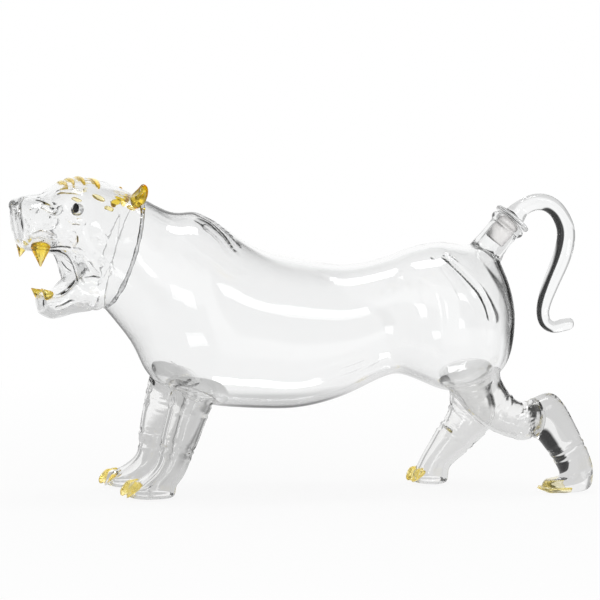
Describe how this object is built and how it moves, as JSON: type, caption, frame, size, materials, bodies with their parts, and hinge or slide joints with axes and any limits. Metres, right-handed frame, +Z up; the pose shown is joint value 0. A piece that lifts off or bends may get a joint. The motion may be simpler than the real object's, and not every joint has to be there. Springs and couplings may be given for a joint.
{
  "type": "figural liquor decanter",
  "caption": "Hollow blown-glass decanter shaped as a striding, roaring tiger; a ground stopper with a curled tail for its grip closes the spout at the rump.",
  "frame": {"origin": "on the ground, below the middle of the bounding box", "axes": "+Z up, +X towards the tail so that the tiger faces -X, -Y towards the tiger's left side"},
  "size_m": [0.318, 0.0904, 0.1747],
  "materials": {
    "clear_glass": "fire-polished clear",
    "amber_glass": "fire-polished amber",
    "black_glass": "fire-polished black",
    "ground_glass": "ground, frosted"
  },
  "bodies": {
    "vessel": {"body_bulb": "clear_glass", "head_shell": "clear_glass", "neck_weld_bead": "clear_glass", "left_eye": "clear_glass", "right_eye": "clear_glass", "front_left_leg": "clear_glass", "front_right_leg": "clear_glass", "hind_left_leg": "clear_glass", "hind_right_leg": "clear_glass", "spout": "clear_glass", "left_ear": "amber_glass", "right_ear": "amber_glass", "upper_left_fang": "amber_glass", "upper_right_fang": "amber_glass", "lower_left_fang": "amber_glass", "lower_right_fang": "amber_glass", "crown_stripes": "amber_glass", "left_temple_stripes": "amber_glass", "right_temple_stripes": "amber_glass", "front_left_claws": "amber_glass", "front_right_claws": "amber_glass", "hind_left_claws": "amber_glass", "hind_right_claws": "amber_glass", "left_pupil": "black_glass", "right_pupil": "black_glass"},
    "stopper": {"stopper_plug": "ground_glass"},
    "tail_grip": {"stopper_collar": "clear_glass", "tail": "clear_glass", "tail_tip": "clear_glass"}
  },
  "joints": [
    {"name": "stopper_lift", "type": "slide", "parent": "vessel", "child": "stopper", "axis": [0.6428, 0, 0.766], "range_m": [0, 0.06]},
    {"name": "stopper_turn", "type": "hinge", "parent": "stopper", "child": "tail_grip", "pos_m": [0.11695, 0, 0.14849], "axis": [0.6428, 0, 0.766], "continuous": true}
  ]
}
